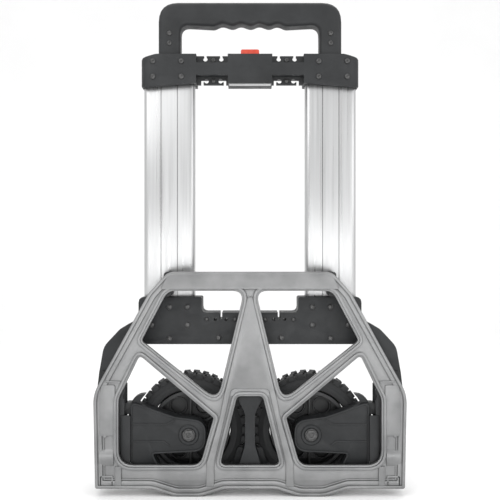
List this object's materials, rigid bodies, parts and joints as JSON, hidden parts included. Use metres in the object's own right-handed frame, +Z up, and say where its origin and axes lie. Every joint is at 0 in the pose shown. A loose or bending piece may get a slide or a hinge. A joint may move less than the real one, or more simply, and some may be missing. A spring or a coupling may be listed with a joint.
{
  "type": "folding hand truck",
  "caption": "Folding two-wheel hand truck, folded: ribbed cast toe plate, swing-out wheels, aluminium stiles and a telescoping U handle with a push-button release.",
  "frame": {"origin": "on the floor, under the middle of the folded object's box", "axes": "+Z up, +X to the right, +Y from the toe plate towards the back"},
  "size_m": [0.4894, 0.104, 0.788],
  "materials": {
    "cast_aluminium": "as-cast, tumbled satin grey",
    "anodised_aluminium": "brushed and clear anodised",
    "black_plastic": "moulded, fine spark-eroded texture",
    "wheel_plastic": "moulded, smooth",
    "tyre_rubber": "dull, slightly dusty",
    "buffer_rubber": "matt",
    "steel": "zinc plated",
    "black_steel": "black oxide",
    "red_plastic": "semi-gloss"
  },
  "bodies": {
    "root": {"button_spring": "steel", "centre_spine": "black_plastic", "head_front_shell": "black_plastic", "head_rear_shell": "black_plastic", "head_screw_left_1": "black_steel", "head_screw_left_2": "black_steel", "head_screw_left_3": "black_steel", "head_screw_left_4": "black_steel", "head_screw_right_1": "black_steel", "head_screw_right_2": "black_steel", "head_screw_right_3": "black_steel", "head_screw_right_4": "black_steel", "lower_bracket_front": "black_plastic", "lower_bracket_rear": "black_plastic", "plate_buffer_left": "buffer_rubber", "plate_buffer_right": "buffer_rubber", "plate_hinge_rod": "steel", "side_post_left": "black_plastic", "side_post_right": "black_plastic", "stile_left": "anodised_aluminium", "stile_right": "anodised_aluminium"},
    "handle": {"grip_front_shell": "black_plastic", "grip_rear_shell": "black_plastic", "inner_tube_left": "anodised_aluminium", "inner_tube_right": "anodised_aluminium", "tube_end_plug_left": "black_plastic", "tube_end_plug_right": "black_plastic"},
    "toe_plate": {"plate_gear_left": "steel", "plate_gear_right": "steel", "toe_plate": "cast_aluminium"},
    "release_button": {"release_button": "red_plastic"},
    "latch_bolt_left": {"latch_bolt_left": "steel"},
    "latch_bolt_right": {"latch_bolt_right": "steel"},
    "wheel_arm_left": {"arm_gear_left": "steel", "arm_hinge_pin_left": "steel", "axle_left": "black_steel", "wheel_arm_left": "black_plastic"},
    "wheel_left": {"hub_cap_left": "wheel_plastic", "inner_bearing_left": "steel", "outer_bearing_left": "steel", "rim_left": "wheel_plastic", "tyre_left": "tyre_rubber"},
    "wheel_arm_right": {"arm_gear_right": "steel", "arm_hinge_pin_right": "steel", "axle_right": "black_steel", "wheel_arm_right": "black_plastic"},
    "wheel_right": {"hub_cap_right": "wheel_plastic", "inner_bearing_right": "steel", "outer_bearing_right": "steel", "rim_right": "wheel_plastic", "tyre_right": "tyre_rubber"}
  },
  "joints": [
    {"name": "toe_plate_fold", "type": "hinge", "parent": "root", "child": "toe_plate", "pos_m": [0, -0.02, 0.032], "axis": [1, 0, 0], "range_deg": [0, 90]},
    {"name": "wheel_arm_left_swing", "type": "hinge", "parent": "root", "child": "wheel_arm_left", "pos_m": [-0.207, -0.02, 0.1], "axis": [0, 0, 1], "range_deg": [0, 90]},
    {"name": "wheel_arm_right_swing", "type": "hinge", "parent": "root", "child": "wheel_arm_right", "pos_m": [0.207, -0.02, 0.1], "axis": [0, 0, 1], "range_deg": [-90, 0]},
    {"name": "wheel_left_spin", "type": "hinge", "parent": "wheel_arm_left", "child": "wheel_left", "pos_m": [-0.097, 0.022, 0.092], "axis": [0, 1, 0], "continuous": true},
    {"name": "wheel_right_spin", "type": "hinge", "parent": "wheel_arm_right", "child": "wheel_right", "pos_m": [0.097, 0.022, 0.092], "axis": [0, 1, 0], "continuous": true},
    {"name": "handle_slide", "type": "slide", "parent": "root", "child": "handle", "axis": [0, 0, 1], "range_m": [0, 0.26]},
    {"name": "button_press", "type": "slide", "parent": "root", "child": "release_button", "axis": [0, 0, -1], "range_m": [0, 0.005], "stiffness_N_per_m": 800, "springref_m": -0.002, "deforming": ["button_spring"]},
    {"name": "latch_bolt_left_slide", "type": "slide", "parent": "root", "child": "latch_bolt_left", "axis": [1, 0, 0], "range_m": [0, 0.005]},
    {"name": "latch_bolt_right_slide", "type": "slide", "parent": "root", "child": "latch_bolt_right", "axis": [-1, 0, 0], "range_m": [0, 0.005]}
  ],
  "couplings": [
    {"joint": "wheel_arm_left_swing", "follows": "toe_plate_fold", "ratio": 1},
    {"joint": "wheel_arm_right_swing", "follows": "toe_plate_fold", "ratio": -1},
    {"joint": "latch_bolt_left_slide", "follows": "button_press", "ratio": 1},
    {"joint": "latch_bolt_right_slide", "follows": "button_press", "ratio": 1}
  ]
}
